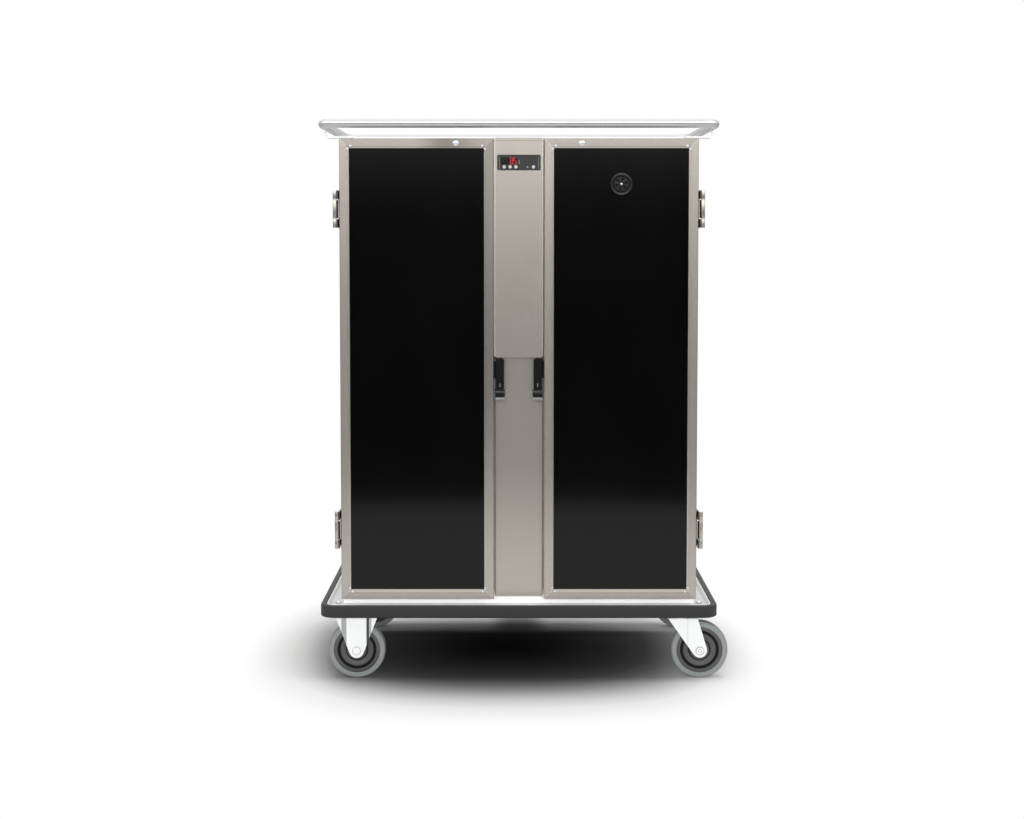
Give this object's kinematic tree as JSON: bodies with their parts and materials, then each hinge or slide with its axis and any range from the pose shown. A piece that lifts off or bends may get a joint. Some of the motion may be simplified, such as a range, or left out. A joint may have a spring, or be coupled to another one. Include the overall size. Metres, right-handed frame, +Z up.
{
  "type": "insulated food transport cart",
  "caption": "Tall insulated cabinet on casters with hinged doors on pan racks, a centre column with a controller, a bumper round the deck and a push rail round the roof.",
  "frame": {"origin": "on the floor under the middle of the cart's box at rest", "axes": "doors face -Y, +X to the right seen from the doors, +Z up; the casters on the +X side swivel and are stored trailing outwards"},
  "size_m": [1.142, 0.8, 1.5612],
  "materials": {
    "champagne_metal": "satin champagne anodised",
    "black_laminate": "glossy black laminate",
    "chrome_tube": "polished",
    "zinc_steel": "smooth bright zinc",
    "pale_sheet": "pale grey coated sheet",
    "bumper_plastic": "dark grey, matte",
    "grey_rubber": "non-marking grey tread",
    "dark_plastic": "dark grey moulding",
    "black_plastic": "black moulding",
    "window_glass": "dark tinted display window",
    "silver_button": "silver coated",
    "liner_steel": "bright satin inner sheet",
    "rack_steel": "bright pressed stainless sheet",
    "gasket_rubber": "soft black",
    "catch_metal": "satin cast"
  },
  "bodies": {
    "cart": {"back_panel": "champagne_metal", "base_deck": "pale_sheet", "bumper": "bumper_plastic", "centre_partition": "liner_steel", "column_lower": "champagne_metal", "column_upper": "champagne_metal", "controller_housing": "black_plastic", "controller_window": "window_glass", "fixed_caster_front_fork": "zinc_steel", "fixed_caster_rear_fork": "zinc_steel", "floor_panel": "pale_sheet", "heater_unit": "zinc_steel", "hinge_lower_left": "champagne_metal", "hinge_lower_right": "champagne_metal", "hinge_upper_left": "champagne_metal", "hinge_upper_right": "champagne_metal", "left_latch_catch": "catch_metal", "pan_rack_left": "rack_steel", "pan_rack_right": "rack_steel", "power_inlet": "black_plastic", "push_rail": "chrome_tube", "rail_bracket_front_left": "zinc_steel", "rail_bracket_front_right": "zinc_steel", "rail_bracket_rear_left": "zinc_steel", "rail_bracket_rear_right": "zinc_steel", "right_latch_catch": "catch_metal", "roof_panel": "champagne_metal", "side_panel_left": "champagne_metal", "side_panel_right": "champagne_metal", "swivel_caster_front_plate": "zinc_steel", "swivel_caster_rear_plate": "zinc_steel"},
    "left_door": {"left_door_frame": "champagne_metal", "left_door_panel": "black_laminate", "left_door_core": "liner_steel", "left_door_gasket": "gasket_rubber", "left_latch_bracket": "black_plastic"},
    "left_lever": {"left_latch_lever": "black_plastic"},
    "right_door": {"right_door_frame": "champagne_metal", "right_door_panel": "black_laminate", "right_door_core": "liner_steel", "right_door_gasket": "gasket_rubber", "right_latch_bracket": "black_plastic", "vent_ring": "black_plastic"},
    "right_lever": {"right_latch_lever": "black_plastic"},
    "vent_disc": {"vent_disc": "black_plastic"},
    "button_set": {"button_set": "silver_button"},
    "button_up": {"button_up": "silver_button"},
    "button_down": {"button_down": "silver_button"},
    "button_power": {"button_power": "silver_button"},
    "fan": {"fan_impeller": "black_plastic"},
    "fixed_caster_front_wheel": {"fixed_caster_front_hub": "dark_plastic", "fixed_caster_front_tyre": "grey_rubber"},
    "swivel_caster_front_swivel": {"swivel_caster_front_fork": "zinc_steel"},
    "swivel_caster_front_wheel": {"swivel_caster_front_hub": "dark_plastic", "swivel_caster_front_tyre": "grey_rubber"},
    "fixed_caster_rear_wheel": {"fixed_caster_rear_hub": "dark_plastic", "fixed_caster_rear_tyre": "grey_rubber"},
    "swivel_caster_rear_swivel": {"swivel_caster_rear_fork": "zinc_steel"},
    "swivel_caster_rear_wheel": {"swivel_caster_rear_hub": "dark_plastic", "swivel_caster_rear_tyre": "grey_rubber"}
  },
  "joints": [
    {"name": "left_door_hinge", "type": "hinge", "parent": "cart", "child": "left_door", "pos_m": [-0.5263, -0.35, 0.8676], "axis": [0, 0, -1], "range_deg": [0, 265]},
    {"name": "left_latch_pivot", "type": "hinge", "parent": "left_door", "child": "left_lever", "pos_m": [-0.06945, -0.345, 0.8962], "axis": [-1, 0, 0], "range_deg": [0, 30], "stiffness_Nm_per_rad": 0.05},
    {"name": "right_door_hinge", "type": "hinge", "parent": "cart", "child": "right_door", "pos_m": [0.4923, -0.35, 0.8676], "axis": [0, 0, 1], "range_deg": [0, 265]},
    {"name": "right_latch_pivot", "type": "hinge", "parent": "right_door", "child": "right_lever", "pos_m": [0.03545, -0.345, 0.8962], "axis": [-1, 0, 0], "range_deg": [0, 30], "stiffness_Nm_per_rad": 0.05},
    {"name": "vent_disc_spin", "type": "hinge", "parent": "right_door", "child": "vent_disc", "pos_m": [0.2664, -0.35, 1.3844], "axis": [0, 1, 0], "range_deg": [0, 30]},
    {"name": "button_set_press", "type": "slide", "parent": "cart", "child": "button_set", "axis": [0, 1, 0], "range_m": [0, 0.001], "stiffness_N_per_m": 300},
    {"name": "button_up_press", "type": "slide", "parent": "cart", "child": "button_up", "axis": [0, 1, 0], "range_m": [0, 0.001], "stiffness_N_per_m": 300},
    {"name": "button_down_press", "type": "slide", "parent": "cart", "child": "button_down", "axis": [0, 1, 0], "range_m": [0, 0.001], "stiffness_N_per_m": 300},
    {"name": "button_power_press", "type": "slide", "parent": "cart", "child": "button_power", "axis": [0, 1, 0], "range_m": [0, 0.001], "stiffness_N_per_m": 300},
    {"name": "fan_spin", "type": "hinge", "parent": "cart", "child": "fan", "pos_m": [-0.017, 0.0083, 1.1713], "axis": [0, 0, 1], "continuous": true},
    {"name": "fixed_caster_front_roll", "type": "hinge", "parent": "cart", "child": "fixed_caster_front_wheel", "pos_m": [-0.472, -0.325, 0.08], "axis": [0, 1, 0], "continuous": true},
    {"name": "swivel_caster_front_turn", "type": "hinge", "parent": "cart", "child": "swivel_caster_front_swivel", "pos_m": [0.438, -0.325, 0.1877], "axis": [0, 0, 1], "continuous": true},
    {"name": "swivel_caster_front_roll", "type": "hinge", "parent": "swivel_caster_front_swivel", "child": "swivel_caster_front_wheel", "pos_m": [0.491, -0.325, 0.08], "axis": [0, 1, 0], "continuous": true},
    {"name": "fixed_caster_rear_roll", "type": "hinge", "parent": "cart", "child": "fixed_caster_rear_wheel", "pos_m": [-0.472, 0.325, 0.08], "axis": [0, 1, 0], "continuous": true},
    {"name": "swivel_caster_rear_turn", "type": "hinge", "parent": "cart", "child": "swivel_caster_rear_swivel", "pos_m": [0.438, 0.325, 0.1877], "axis": [0, 0, 1], "continuous": true},
    {"name": "swivel_caster_rear_roll", "type": "hinge", "parent": "swivel_caster_rear_swivel", "child": "swivel_caster_rear_wheel", "pos_m": [0.491, 0.325, 0.08], "axis": [0, 1, 0], "continuous": true}
  ]
}
